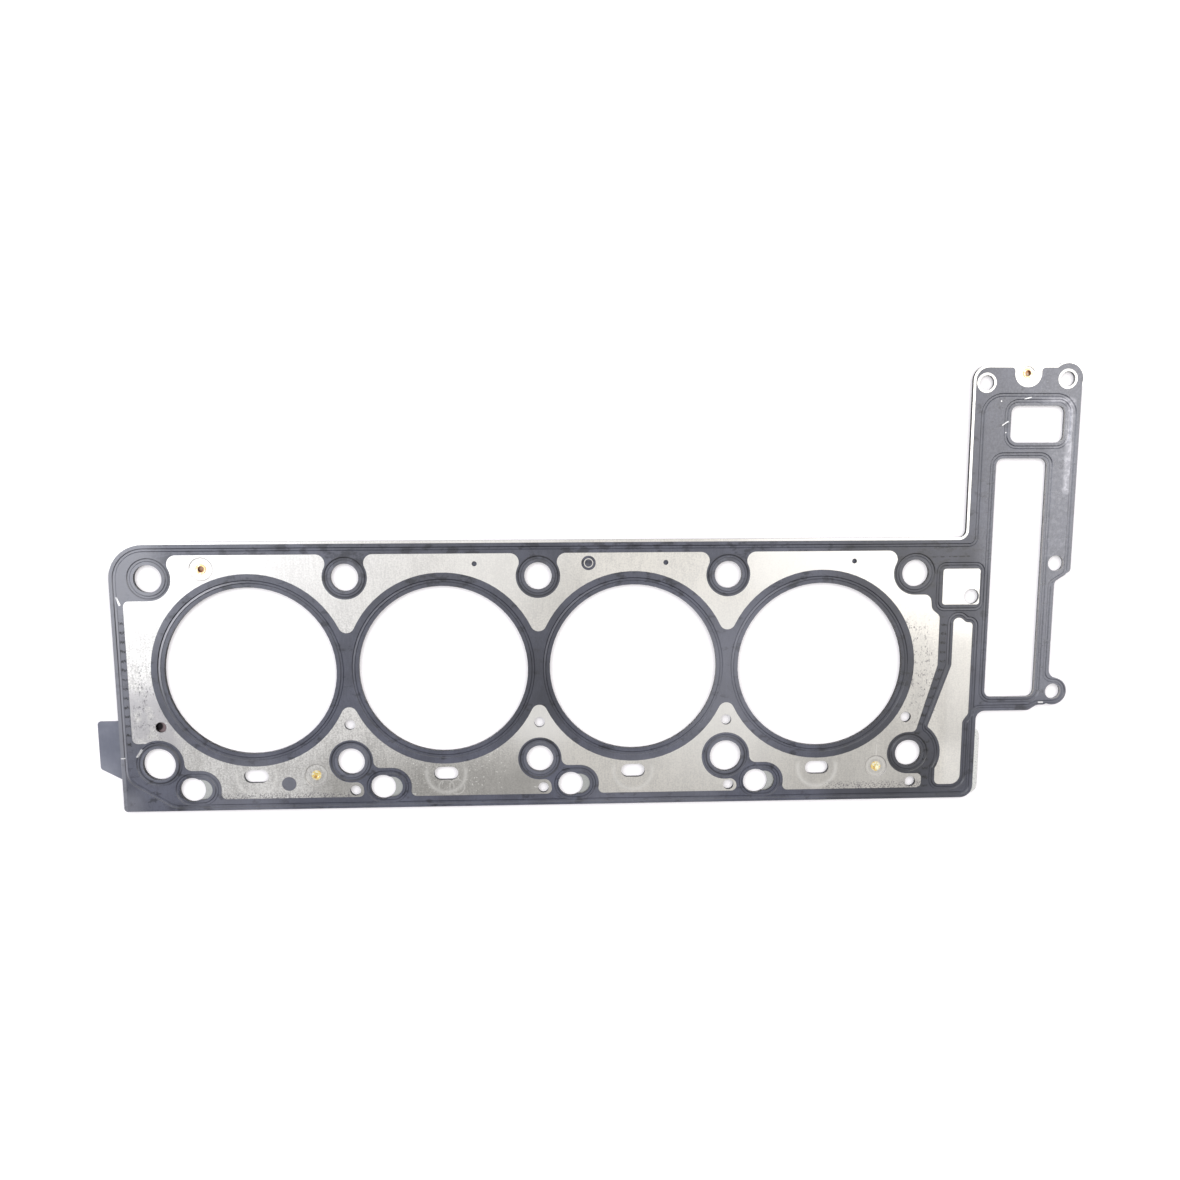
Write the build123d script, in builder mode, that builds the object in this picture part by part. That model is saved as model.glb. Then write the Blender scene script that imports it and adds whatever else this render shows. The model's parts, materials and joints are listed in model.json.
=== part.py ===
from build123d import *
from math import hypot, sqrt
import os

os.makedirs("parts", exist_ok=True)

# A multi-layer steel head gasket for a row of four bores with a timing arm, in millimetres.
# The origin is the middle of the first bore, on the face that the gasket lies on.
# X runs along the row of bores, Y towards the end of the timing arm, Z up through the stack.

# The stack, from the bottom up
sheet = 0.3
carrier_sheet = 0.4
stopper_sheet = 0.15
bead_depth = 0.5
bead_width = 2.0
bead_slope = 45
print_thickness = 0.1
carrier_bottom = sheet + bead_depth
carrier_top = carrier_bottom + carrier_sheet
upper_bottom = carrier_top + bead_depth
upper_top = upper_bottom + sheet

# Bores
bore_count = 4
bore_radius = 46.9
bore_land = 12.2
bore_print = 7.4
bore_bead = 3.0
bore_web_fillet = 4.5
stopper_width = 1.4
stopper_setback = 0.2
bore_pitch = 2 * bore_radius + bore_land
row_start = -bore_pitch / 2
row_end = row_start + bore_count * bore_pitch

# Head bolts and dowels stand in two rows, half a pitch before and after each bore
bolt_radius = 7.6
dowel_radius = 9.0
dowel_columns = (0, 3)
bolt_row_top = bore_radius + 5.1
bolt_row_bottom = -bore_radius - 5.3
hole_print = 4.7
hole_bead = 2.7
pad_fillet = 5.0
low_pad_fillet = 4.0
web_waist = 1.0

# Oil returns: a round hole in the carrier under a longer opening in the beaded sheets
oil_radius = 7.0
oil_nose_radius = 5.85
oil_nose_shift = 5.1
oil_offset = 17.4
oil_y = -bore_radius - 20.4
oil_bead_radius = 8.4
oil_pad_radius = 11.0
oil_fillet = 3.0

# Coolant slots and small coolant holes
slot_length = 13.6
slot_height = 7.6
slot_y = -bore_radius - 13.1
coolant_radius = 3.0
coolant_y = -31.0
coolant_shift = 2.2
drain_radius = 3.0
drain_y = -bore_radius - 22.3
drain_offset = 1.9
pin_radius = 1.4
pin_y = bore_radius + 12.1
pin_offset = 18.0

# Outline of the main body
body_left = row_start - 20.8
body_right = row_end + 38.7
body_top = bore_radius + 25.0
body_bottom = -bore_radius - 32.5
body_corner = 19.0
body_low_corner = 2.0
body_end_corner = 7.0

# Timing arm
arm_left = row_end + 28.0
arm_right = row_end + 88.9
arm_top = 166.5
arm_corner = 8.4
arm_root_fillet = 4.0
arm_step_y = 52.6
rail_right = row_end + 80.0
rail_step_y = 47.0
rail_bottom = -28.0
rail_toe_x = row_end + 69.0
rail_toe_y = -24.8
step_corner = 2.5
step_fillet = 5.0

# Bolt holes of the timing arm
arm_hole_radius = 4.2
arm_hole_left = (row_end + 35.4, 156.8)
arm_hole_right = (row_end + 80.8, 159.0)
arm_hole_clear = 1.2
arm_ear_radius = 9.2
rail_hole_radius = 4.5
rail_hole_high = (row_end + 80.2, 57.0)
rail_hole_low = (row_end + 83.0, -17.0)
rail_ear_radius = 7.8
rail_ear_fillet = 5.0

# Openings of the timing arm
port_left = row_end + 50.0
port_right = row_end + 80.3
port_bottom = 124.3
port_top = 144.5
port_corner = 4.0
chain_left = row_end + 42.9
chain_right = row_end + 71.8
chain_bottom = -20.0
chain_top = 115.7
chain_corner = 4.0

# Metering hole in its bare square beside the last top bolt
square_left = row_end + 16.0
square_right = row_end + 37.2
square_bottom = 33.9
square_top = 54.2
square_corner = 1.5
meter_radius = 4.4
meter_hole = (row_end + 32.6, 38.5)

# Print: bands of coating left along the edges of the bare fields
print_rim = 1.4
field_left = row_start - 14.0
field_right = row_end + 15.0
field_top = bore_radius + 17.8
field_bottom = -bore_radius - 26.1
field_end = row_end + 8.3
field_corner = 3.0
low_block_top = -40.3
neck_x = row_end + 9.3
neck_y = 31.5
neck_slant = 1.0
neck_drop = 4.0
neck_fillet = 4.0
slant_top = -1.0
slant_foot_x = row_end + 3.8
end_left = row_end + 23.0
end_right = row_end + 34.2
end_low_right = row_end + 31.0
end_top = 26.3
end_head_right = row_end + 27.3
end_head_slant = row_end + 30.5
end_head_y = 23.6
end_bottom = -bore_radius - 24.4
end_corner = 3.0
end_small_corner = 2.0
end_foot_corner = 5.5
end_step_y = -29.5
end_step_foot = -34.0
end_foot = row_end + 16.0
end_shoulder_x = row_end + 10.8
end_shoulder_y = -36.5
end_shoulder_corner = 1.0
end_pad_radius = 18.6
notch_left = row_end + 51.0
notch_right = row_end + 66.0
notch_bottom = 154.5
notch_corner = 2.0
notch_round = 7.3
dot_radius = 4.0
dot_place = (18.0, -bore_radius - 17.8)
ring_mark_place = (1.5 * bore_pitch + 28.0, pin_y)
ring_mark_radius = 2.6
ring_mark_width = 0.5

# Beads that follow the edges, as distances from the edge that they follow
edge_bead_top = 4.3
edge_bead_side = 2.8
edge_bead_bottom = 2.5
frame_bead = 2.3
port_bead = 2.6
square_bead = 2.8
square_bead_right = 1.6
arm_bead_side = 6.0
arm_bead_top = 150.3
arm_bead_corner = 11.0
rail_bead_side = 2.6
step_bead_drop = 1.0
ear_loop = 6.2
ear_loop_corner = 6.0
low_turn_x = row_start + 7.0
low_turn_y = -bore_radius - 14.1
low_turn_corner = 9.5

# Semi-tubular rivets, each seated in a cup pressed into both outer sheets
rivet_hole = 1.9
rivet_radius = 1.85
rivet_bore = 1.5
rivet_flange = 2.8
rivet_flange_height = 0.25
rivet_floor = 0.35
rivet_cup = 6.5
arm_rivet_cup = 3.8
body_rivets = [(row_start + 28.7, bore_radius + 10.1), (33.3, slot_y), (row_end - 18.5, slot_y)]
arm_rivets = [(row_end + 58.3, 162.0)]

# Part-number tab of the lower sheet and the bare edge of the carrier
tab_left = row_start - 33.0
tab_top = -27.5
tab_shoulder = -54.8
tab_bottom = -61.5
tab_corner = 2.0
carrier_edge = 3.0
carrier_edge_top = -38.0
carrier_edge_bottom = -bore_radius - 30.1
carrier_edge_corner = 5.0

bolt_x = [row_start + bore_pitch * column for column in range(bore_count + 1)]
bore_x = [bore_pitch * column for column in range(bore_count)]
top_bolts = [(x, bolt_row_top) for x in bolt_x]
bottom_bolts = [(x, bolt_row_bottom) for x in bolt_x]
dowels = [bottom_bolts[column] for column in dowel_columns]
plain_bolts = top_bolts + [place for place in bottom_bolts if place not in dowels]
last_top = top_bolts[-1]
last_bottom = bottom_bolts[-1]


# Where a circle of the given radius touches two other circles from outside
def touching(first, first_radius, second, second_radius, radius, side):
    reach_1 = first_radius + radius
    reach_2 = second_radius + radius
    gap_x = second[0] - first[0]
    gap_y = second[1] - first[1]
    gap = hypot(gap_x, gap_y)
    along = (gap**2 + reach_1**2 - reach_2**2) / (2 * gap)
    out = side * sqrt(reach_1**2 - along**2)
    return (
        first[0] + (gap_x * along - gap_y * out) / gap,
        first[1] + (gap_y * along + gap_x * out) / gap,
    )


# A fillet that reaches both of two pads is more than half as wide as the space between them
def spanning(radius, space):
    return max(radius, space / 2 + web_waist)


# Print that fills the throat between two round pads, with a fillet on one side
def web(first, first_radius, second, second_radius, radius, side):
    gap = hypot(second[0] - first[0], second[1] - first[1])
    radius = spanning(radius, gap - first_radius - second_radius)
    centre = touching(first, first_radius, second, second_radius, radius, side)
    with BuildSketch() as throat:
        Polygon(first, centre, second, align=None)
        with Locations(centre):
            Circle(radius, mode=Mode.SUBTRACT)
    return throat.sketch


# Print that joins a round pad to a straight band, with a fillet on one side
def shoulder(pad, pad_radius, band_y, radius, side):
    inward = 1 if pad[1] > band_y else -1
    radius = spanning(radius, abs(band_y - pad[1]) - pad_radius)
    centre_y = band_y + inward * radius
    out = side * sqrt((pad_radius + radius) ** 2 - (centre_y - pad[1]) ** 2)
    centre = (pad[0] + out, centre_y)
    with BuildSketch() as joint:
        Polygon(pad, centre, (centre[0], band_y), (pad[0], band_y), align=None)
        with Locations(centre):
            Circle(radius, mode=Mode.SUBTRACT)
    return joint.sketch


# A closed shape from corners given as x, y and the corner's radius
def rounded(corners):
    with BuildSketch() as shape:
        with BuildLine():
            FilletPolyline(
                *[(x, y) for x, y, radius in corners],
                radius=[radius for x, y, radius in corners],
                close=True,
            )
        make_face()
    return shape.sketch


def rectangle(left, right, bottom, top, corner):
    places = [(left, bottom), (left, top), (right, top), (right, bottom)]
    return rounded([(x, y, corner) for x, y in places])


# A bead's width on the sheet, round a closed shape
def band_round(shape, distance=0.0):
    with BuildSketch() as band:
        offset(shape, amount=distance + bead_width / 2)
        offset(shape, amount=distance - bead_width / 2, mode=Mode.SUBTRACT)
    return band.sketch


def ring_round(places, radius):
    with BuildSketch() as ring:
        with Locations(*places):
            Circle(radius + bead_width / 2)
            Circle(radius - bead_width / 2, mode=Mode.SUBTRACT)
    return ring.sketch


# Outline of a beaded sheet, drawn in by the rim where the print stops short of the edge
def sheet_outline(rim, notched):
    notch = [
        (notch_right, arm_top - rim, notch_corner),
        (notch_right, notch_bottom, notch_round),
        (notch_left, notch_bottom, notch_round),
        (notch_left, arm_top - rim, notch_corner),
    ]
    corners = [
        (body_left, body_bottom, body_low_corner),
        (body_left, body_top - rim, body_corner),
        (arm_left + rim, body_top - rim, arm_root_fillet + rim),
        (arm_left + rim, arm_top - rim, arm_corner - rim),
        *(reversed(notch) if notched else ()),
        (arm_right, arm_top - rim, arm_corner - rim),
        (arm_right, arm_step_y, step_corner),
        (rail_right, rail_step_y, step_fillet),
        (rail_right, rail_toe_y, step_corner),
        (rail_toe_x + step_fillet, rail_toe_y, step_fillet),
        (rail_toe_x, rail_bottom, step_fillet),
        (body_right, rail_bottom, step_fillet),
        (body_right, body_bottom, body_end_corner),
    ]
    fillet_x = rail_right + rail_ear_fillet
    reach = rail_ear_radius + rail_ear_fillet
    ear_fillet = (fillet_x, rail_hole_low[1] + sqrt(reach**2 - (fillet_x - rail_hole_low[0]) ** 2))
    with BuildSketch() as outline:
        add(rounded(corners))
        with Locations(arm_hole_right):
            Circle(arm_ear_radius - rim / 2)
        with Locations(rail_hole_low):
            Circle(rail_ear_radius)
    with BuildSketch() as ear_web:
        Polygon(rail_hole_low, ear_fillet, (rail_right - rail_ear_fillet, ear_fillet[1]), align=None)
        with Locations(ear_fillet):
            Circle(rail_ear_fillet, mode=Mode.SUBTRACT)
    return outline.sketch + ear_web.sketch


# Places that follow from the sizes above
oil_holes = [(x + oil_offset, oil_y) for x in bolt_x[:-1]]
oil_noses = [(x + oil_nose_shift, y) for x, y in oil_holes]
slots = [(x, slot_y) for x in bore_x]
coolant_holes = [(x, coolant_y) for x in bolt_x[1:-1]]
coolant_holes.append((bolt_x[-1] - coolant_shift, coolant_y))
blind_coolant_hole = (bolt_x[0] + coolant_shift, coolant_y)
drain_holes = [(x + drain_offset, drain_y) for x in bolt_x[1:]]
pin_holes = [(x + pin_offset, pin_y) for x in bore_x[1:]]
rivet_places = body_rivets + arm_rivets
pad_radius = bolt_radius + hole_print
dowel_pad_radius = dowel_radius + hole_print
ring_radius = bore_radius + bore_print

port = rectangle(port_left, port_right, port_bottom, port_top, port_corner)
chain_window = rectangle(chain_left, chain_right, chain_bottom, chain_top, chain_corner)
meter_square = rectangle(square_left, square_right, square_bottom, square_top, square_corner)


# The shape round each oil return: two radii, the second one at the nose of the opening
def oil_shapes(radius, nose_radius):
    with BuildSketch() as shapes:
        with Locations(*oil_holes):
            Circle(radius)
        with Locations(*[(x + oil_nose_shift / 2, y) for x, y in oil_holes]):
            SlotCenterToCenter(oil_nose_shift, 2 * nose_radius)
    return shapes.sketch


# Openings that go through the whole stack
with BuildSketch() as through:
    with Locations(*[(x, 0) for x in bore_x]):
        Circle(bore_radius)
    with Locations(*plain_bolts):
        Circle(bolt_radius)
    with Locations(*dowels):
        Circle(dowel_radius)
    with Locations(*slots):
        SlotOverall(slot_length, slot_height)
    with Locations(*coolant_holes):
        Circle(coolant_radius)
    with Locations(*drain_holes):
        Circle(drain_radius)
    with Locations(rail_hole_high, rail_hole_low):
        Circle(rail_hole_radius)
    with Locations(arm_hole_left, arm_hole_right):
        Circle(arm_hole_radius)
    with Locations(meter_hole):
        Circle(meter_radius)
    with Locations(*rivet_places):
        Circle(rivet_hole)
    add(port)
    add(chain_window)

# Openings that both beaded sheets have
with BuildSketch() as sheet_openings:
    add(through.sketch)
    add(oil_shapes(oil_radius, oil_nose_radius))

# Bare field round the row of bores, before the printed rings and pads go in
main_field = rounded([
    (field_left, low_block_top, field_corner),
    (field_left, bolt_row_top - pad_radius, field_corner),
    (bolt_x[0], bolt_row_top - pad_radius, 0),
    (bolt_x[0], field_top, 0),
    (last_top[0], field_top, 0),
    (last_top[0], bolt_row_top - pad_radius, 0),
    (neck_x, bolt_row_top - pad_radius, neck_fillet),
    (neck_x + neck_slant, neck_y, neck_fillet),
    (field_right, neck_y - neck_drop, field_corner),
    (field_right, slant_top, pad_fillet),
    (slant_foot_x, bolt_row_bottom + pad_radius, field_corner),
    (last_bottom[0], bolt_row_bottom + pad_radius, 0),
    (last_bottom[0], bolt_row_bottom - pad_radius, 0),
    (field_end, bolt_row_bottom - pad_radius, field_corner),
    (field_end, field_bottom, field_corner),
    (oil_holes[0][0], field_bottom, 0),
    (oil_holes[0][0], oil_y, 0),
    (bolt_x[0], bolt_row_bottom, 0),
    (bolt_x[0], low_block_top, 0),
])

# Bare panel between the last bolt and the end of the body
with BuildSketch() as end_panel:
    add(rounded([
        (end_left, end_top, end_corner),
        (end_head_right, end_top, end_corner),
        (end_head_slant, end_head_y, end_corner),
        (end_right, end_head_y, end_small_corner),
        (end_right, end_step_y, end_corner),
        (end_low_right, end_step_foot, end_corner),
        (end_low_right, end_bottom, end_foot_corner),
        (end_foot, end_bottom, end_corner),
        (end_foot, bolt_row_bottom, 0),
        (end_shoulder_x, end_shoulder_y, end_shoulder_corner),
        (end_left, slant_top, pad_fillet),
    ]))
    with Locations(last_bottom):
        Circle(end_pad_radius, mode=Mode.SUBTRACT)

# Beads pressed into both outer sheets
edge_loop = rounded([
    (body_left + edge_bead_side, low_turn_y, low_turn_corner),
    (body_left + edge_bead_side, body_top - edge_bead_top, body_corner - edge_bead_side),
    (arm_left + arm_bead_side, body_top - edge_bead_top, arm_root_fillet),
    (arm_left + arm_bead_side, arm_bead_top, arm_bead_corner),
    (arm_right - edge_bead_side, arm_bead_top, arm_bead_corner),
    (arm_right - edge_bead_side, arm_step_y - step_bead_drop, step_corner),
    (rail_right - rail_bead_side, rail_step_y - step_bead_drop, step_fillet),
    (rail_right - rail_bead_side, rail_hole_low[1] + ear_loop, step_fillet),
    (rail_hole_low[0] + ear_loop, rail_hole_low[1] + ear_loop, ear_loop_corner),
    (rail_hole_low[0] + ear_loop, rail_hole_low[1] - ear_loop, ear_loop_corner),
    (rail_toe_x + step_fillet, rail_hole_low[1] - ear_loop, step_fillet),
    (rail_toe_x, rail_bottom + edge_bead_bottom, step_fillet),
    (body_right - edge_bead_side, rail_bottom + edge_bead_bottom, step_fillet),
    (body_right - edge_bead_side, body_bottom + edge_bead_bottom, body_end_corner - edge_bead_side),
    (low_turn_x, body_bottom + edge_bead_bottom, low_turn_corner),
])
square_loop = rectangle(
    square_left - square_bead,
    square_right + square_bead_right,
    square_bottom - square_bead,
    square_top + square_bead,
    square_corner + square_bead,
)
with BuildSketch() as oil_rings:
    add(oil_shapes(oil_bead_radius + bead_width / 2, oil_bead_radius + bead_width / 2))
    inner_bead = oil_bead_radius - bead_width / 2
    add(oil_shapes(inner_bead, inner_bead), mode=Mode.SUBTRACT)
bead_bands = [
    ring_round([(x, 0) for x in bore_x], bore_radius + bore_bead),
    ring_round(plain_bolts, bolt_radius + hole_bead),
    ring_round(dowels, dowel_radius + hole_bead),
    oil_rings.sketch,
    band_round(edge_loop),
    band_round(port, port_bead),
    band_round(chain_window, frame_bead),
    band_round(end_panel.sketch, frame_bead),
    band_round(square_loop),
]

# The pressed shapes as solids that narrow upward: the beads, and the cups of the rivets
with BuildPart() as bead_form:
    for band in bead_bands:
        with BuildSketch():
            add(band)
        extrude(amount=bead_depth, taper=bead_slope)
with BuildPart() as cup_form:
    with BuildSketch():
        with Locations(*body_rivets):
            Circle(rivet_cup)
        with Locations(*arm_rivets):
            Circle(arm_rivet_cup)
    extrude(amount=bead_depth, taper=bead_slope)
bead_groove = mirror(bead_form.part, Plane.XY)
cup_groove = mirror(cup_form.part, Plane.XY)


def at_height(form, height):
    return Pos(0, 0, height) * form


# Print pattern of the upper sheet
joints = []
for left, right in zip(bore_x[:-1], bore_x[1:]):
    for side in (1, -1):
        joints.append(web((left, 0), ring_radius, (right, 0), ring_radius, bore_web_fillet, side))
for bolt, oil in zip(bottom_bolts, oil_holes):
    radius = dowel_pad_radius if bolt in dowels else pad_radius
    sides = (1,) if bolt == bottom_bolts[0] else (1, -1)
    for side in sides:
        joints.append(web(bolt, radius, oil, oil_pad_radius, low_pad_fillet, side))
for bolt in top_bolts:
    for side in (1, -1):
        joints.append(shoulder(bolt, pad_radius, field_top, pad_fillet, side))
for oil, nose in zip(oil_holes, oil_noses):
    joints.append(shoulder(nose, oil_pad_radius, field_bottom, oil_fillet, 1))
    joints.append(shoulder(oil, oil_pad_radius, field_bottom, oil_fillet, -1))

with BuildSketch() as printed:
    add(sheet_outline(print_rim, True))
    add(main_field, mode=Mode.SUBTRACT)
    add(end_panel.sketch, mode=Mode.SUBTRACT)
    add(meter_square, mode=Mode.SUBTRACT)
    with Locations(*[(x, 0) for x in bore_x]):
        Circle(ring_radius)
    with Locations(*plain_bolts):
        Circle(pad_radius)
    with Locations(*dowels):
        Circle(dowel_pad_radius)
    add(oil_shapes(oil_pad_radius, oil_pad_radius))
    for joint in joints:
        add(joint)
    with Locations(dot_place, ring_mark_place):
        Circle(dot_radius)
    with Locations(ring_mark_place):
        Circle(ring_mark_radius, mode=Mode.SUBTRACT)
        Circle(ring_mark_radius - ring_mark_width)
    add(sheet_openings.sketch, mode=Mode.SUBTRACT)
    with Locations(arm_hole_left, arm_hole_right):
        Circle(arm_hole_radius + arm_hole_clear, mode=Mode.SUBTRACT)

# Upper sheet: its beads and cups point down to the carrier
with BuildPart() as upper_layer:
    with BuildSketch(Plane.XY.offset(upper_bottom)):
        add(sheet_outline(0, False))
        add(sheet_openings.sketch, mode=Mode.SUBTRACT)
        with Locations(*pin_holes):
            Circle(pin_radius, mode=Mode.SUBTRACT)
        with Locations(blind_coolant_hole):
            Circle(coolant_radius, mode=Mode.SUBTRACT)
    extrude(amount=sheet)
    add(at_height(bead_groove, upper_bottom))
    add(at_height(cup_groove, upper_bottom))
    with Locations(*[(x, y, upper_bottom) for x, y in rivet_places]):
        Cylinder(rivet_hole, upper_top, mode=Mode.SUBTRACT)
    add(at_height(bead_groove, upper_top), mode=Mode.SUBTRACT)
    add(at_height(cup_groove, upper_top), mode=Mode.SUBTRACT)
upper_layer.part.label = "upper_layer"
export_step(upper_layer.part, "parts/upper_layer.step")

# Printed coating on the upper sheet, which follows the beads
with BuildPart() as upper_print:
    with BuildSketch(Plane.XY.offset(upper_top)):
        add(printed.sketch)
    extrude(amount=print_thickness)
    add(at_height(bead_groove, upper_top))
    add(at_height(bead_groove, upper_top + print_thickness), mode=Mode.SUBTRACT)
upper_print.part.label = "upper_print"
export_step(upper_print.part, "parts/upper_print.step")

# Flat carrier sheet between the beaded ones, with a bare edge that shows at the end
with BuildPart() as carrier_layer:
    with BuildSketch(Plane.XY.offset(carrier_bottom)):
        add(sheet_outline(0, False))
        add(rectangle(
            body_right - 2 * carrier_edge_corner,
            body_right + carrier_edge,
            carrier_edge_bottom,
            carrier_edge_top,
            carrier_edge_corner,
        ))
        add(through.sketch, mode=Mode.SUBTRACT)
        with Locations(*oil_holes):
            Circle(oil_radius, mode=Mode.SUBTRACT)
        with Locations(*pin_holes):
            Circle(pin_radius, mode=Mode.SUBTRACT)
        with Locations(blind_coolant_hole):
            Circle(coolant_radius, mode=Mode.SUBTRACT)
    extrude(amount=carrier_sheet)
carrier_layer.part.label = "carrier_layer"
export_step(carrier_layer.part, "parts/carrier_layer.step")

# Lower sheet: its beads and cups point up to the carrier, and its tab stands out at the first end
with BuildPart() as lower_layer:
    with BuildSketch():
        add(sheet_outline(0, False))
        add(rounded([
            (tab_left, tab_top, tab_corner),
            (body_left + body_low_corner, tab_top, 0),
            (body_left + body_low_corner, tab_bottom, 0),
            (body_left, tab_bottom, 0),
            (tab_left, tab_shoulder, tab_corner),
        ]))
        add(sheet_openings.sketch, mode=Mode.SUBTRACT)
    extrude(amount=sheet)
    add(at_height(bead_form.part, sheet))
    add(at_height(cup_form.part, sheet))
    with Locations(*[(x, y, sheet) for x, y in rivet_places]):
        Cylinder(rivet_hole, upper_top, mode=Mode.SUBTRACT)
    add(bead_form.part, mode=Mode.SUBTRACT)
    add(cup_form.part, mode=Mode.SUBTRACT)
lower_layer.part.label = "lower_layer"
export_step(lower_layer.part, "parts/lower_layer.step")

# Stopper rings on the carrier, one inside the bead of each bore
for number, x in enumerate(bore_x, 1):
    with BuildPart() as stopper_ring:
        with BuildSketch(Plane.XY.offset(carrier_top)):
            with Locations((x, 0)):
                Circle(bore_radius + stopper_setback + stopper_width)
                Circle(bore_radius + stopper_setback, mode=Mode.SUBTRACT)
        extrude(amount=stopper_sheet)
    stopper_ring.part.label = f"stopper_ring_{number}"
    export_step(stopper_ring.part, f"parts/stopper_ring_{number}.step")

# Rivets that hold the stack together: a solid head below, and a tube whose end is turned over above
flange_low = bead_depth
flange_high = upper_top - bead_depth
for number, place in enumerate(rivet_places, 1):
    with BuildPart() as rivet:
        with BuildSketch(Plane.XZ):
            with BuildLine():
                Polyline(
                    (0, flange_low - rivet_flange_height),
                    (rivet_flange, flange_low - rivet_flange_height),
                    (rivet_flange, flange_low),
                    (rivet_radius, flange_low),
                    (rivet_radius, flange_high),
                    (rivet_flange, flange_high),
                    (rivet_flange, flange_high + rivet_flange_height),
                    (rivet_bore, flange_high + rivet_flange_height),
                    (rivet_bore, flange_low - rivet_flange_height + rivet_floor),
                    (0, flange_low - rivet_flange_height + rivet_floor),
                    close=True,
                )
            make_face()
        revolve(axis=Axis.Z)
    rivet.part.position = (place[0], place[1], 0)
    rivet.part.label = f"rivet_{number}"
    export_step(rivet.part, f"parts/rivet_{number}.step")
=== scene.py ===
import bpy
import json
import math
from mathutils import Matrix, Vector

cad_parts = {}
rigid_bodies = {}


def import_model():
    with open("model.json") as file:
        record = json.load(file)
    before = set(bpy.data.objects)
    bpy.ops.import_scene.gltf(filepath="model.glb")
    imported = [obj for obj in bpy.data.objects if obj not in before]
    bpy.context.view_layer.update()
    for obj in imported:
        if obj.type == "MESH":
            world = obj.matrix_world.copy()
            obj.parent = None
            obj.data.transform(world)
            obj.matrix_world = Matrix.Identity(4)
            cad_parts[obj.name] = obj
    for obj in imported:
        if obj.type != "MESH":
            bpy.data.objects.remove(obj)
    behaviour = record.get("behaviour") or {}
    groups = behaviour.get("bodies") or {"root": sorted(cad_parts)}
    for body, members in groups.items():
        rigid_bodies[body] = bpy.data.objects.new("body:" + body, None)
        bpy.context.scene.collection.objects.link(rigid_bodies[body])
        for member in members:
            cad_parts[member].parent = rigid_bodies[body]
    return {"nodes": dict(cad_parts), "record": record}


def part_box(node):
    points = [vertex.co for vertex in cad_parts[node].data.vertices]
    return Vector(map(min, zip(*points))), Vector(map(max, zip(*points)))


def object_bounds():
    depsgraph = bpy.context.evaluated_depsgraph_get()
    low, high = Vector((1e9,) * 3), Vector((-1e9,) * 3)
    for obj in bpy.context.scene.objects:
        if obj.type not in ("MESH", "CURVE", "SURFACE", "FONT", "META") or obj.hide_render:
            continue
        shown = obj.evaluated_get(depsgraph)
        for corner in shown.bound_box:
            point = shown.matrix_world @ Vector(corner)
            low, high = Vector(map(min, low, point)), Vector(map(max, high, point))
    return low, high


# Looks for a multi-layer steel cylinder head gasket that lies on a white table.
# Lengths are in metres, except in the materials, which work in millimetres.

for leftover in list(bpy.data.objects):
    bpy.data.objects.remove(leftover)
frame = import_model()
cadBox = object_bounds()
nodes = frame["nodes"]
mounts = {mount["name"]: mount for mount in frame["record"]["mounts"]}
print("gasket loaded with", len(nodes), "nodes")


# Places and sizes that the materials need, from the frame, in millimetres

def mountPlace(name):
    return [1000 * length for length in mounts[name]["pos_m"]]


def boxOf(node):
    low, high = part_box(node)
    return [1000 * length for length in low], [1000 * length for length in high]


borePitch = mountPlace("bore_2")[0] - mountPlace("bore_1")[0]
boreRadius = mounts["bore_1"]["dims"]["r_mm"]
boltRows = mounts["head_bolts_inner"]["dims"]
boltMiddle = mountPlace("head_bolts_inner")[1]
boltReach = boltRows["spacing_y_mm"] / 2
boltRadius = boltRows["hole_r_mm"]
rivets = sorted(node for node in nodes if node.startswith("rivet"))
rivetPlaces = []
for rivet in rivets:
    low, high = boxOf(rivet)
    rivetPlaces.append(((low[0] + high[0]) / 2, (low[1] + high[1]) / 2))

# The unclamped sheets aren't quite flat and gleam most here, between the last two bores; the materials
# paint this gleam in as a painted reflection
paintedGleamPlace = (262.0, -8.0)


# A socket of a material. Sums on it add Math nodes, and add() makes any other node.
class Wire:
    def __init__(self, tree, socket):
        self.tree = tree
        self.socket = socket

    # The node's settings go in first, then the values or links of its sockets
    def add(self, kind, settings, sockets, output=0):
        node = self.tree.nodes.new(kind)
        for name, value in settings.items():
            setattr(node, name, value)
        for key, value in sockets.items():
            if isinstance(value, Wire):
                self.tree.links.new(value.socket, node.inputs[key])
            else:
                node.inputs[key].default_value = value
        return Wire(self.tree, node.outputs[output]) if node.outputs else None

    def maths(self, operation, *values):
        return self.add("ShaderNodeMath", {"operation": operation}, dict(enumerate(values)))

    def __add__(self, other):
        return self.maths("ADD", self, other)

    def __radd__(self, other):
        return self.maths("ADD", other, self)

    def __sub__(self, other):
        return self.maths("SUBTRACT", self, other)

    def __rsub__(self, other):
        return self.maths("SUBTRACT", other, self)

    def __mul__(self, other):
        return self.maths("MULTIPLY", self, other)

    def __rmul__(self, other):
        return self.maths("MULTIPLY", other, self)

    def __abs__(self):
        return self.maths("ABSOLUTE", self)

    def __or__(self, other):
        return self.maths("MAXIMUM", self, other)

    def __ror__(self, other):
        return self.maths("MAXIMUM", other, self)


# Small tools for masks: 0 outside, 1 inside. This one rises from 0 at low to 1 at high.
def rising(value, low, high):
    return value.add(
        "ShaderNodeMapRange",
        {"interpolation_type": "SMOOTHSTEP"},
        {"Value": value, "From Min": low, "From Max": high},
    )


def falling(value, low, high):
    return 1 - rising(value, low, high)


def between(value, low, high, fade):
    return rising(value, low - fade, low + fade) * falling(value, high - fade, high + fade)


def inBox(x, y, left, right, bottom, top, fade):
    return between(x, left, right, fade) * between(y, bottom, top, fade)


# Folds x so that a mark is made again each pitch along the row
def repeated(value, pitch):
    return value.maths("WRAP", value, pitch / 2, -pitch / 2)


def flat(x, y):
    return x.add("ShaderNodeCombineXYZ", {}, {0: x, 1: y})


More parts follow.
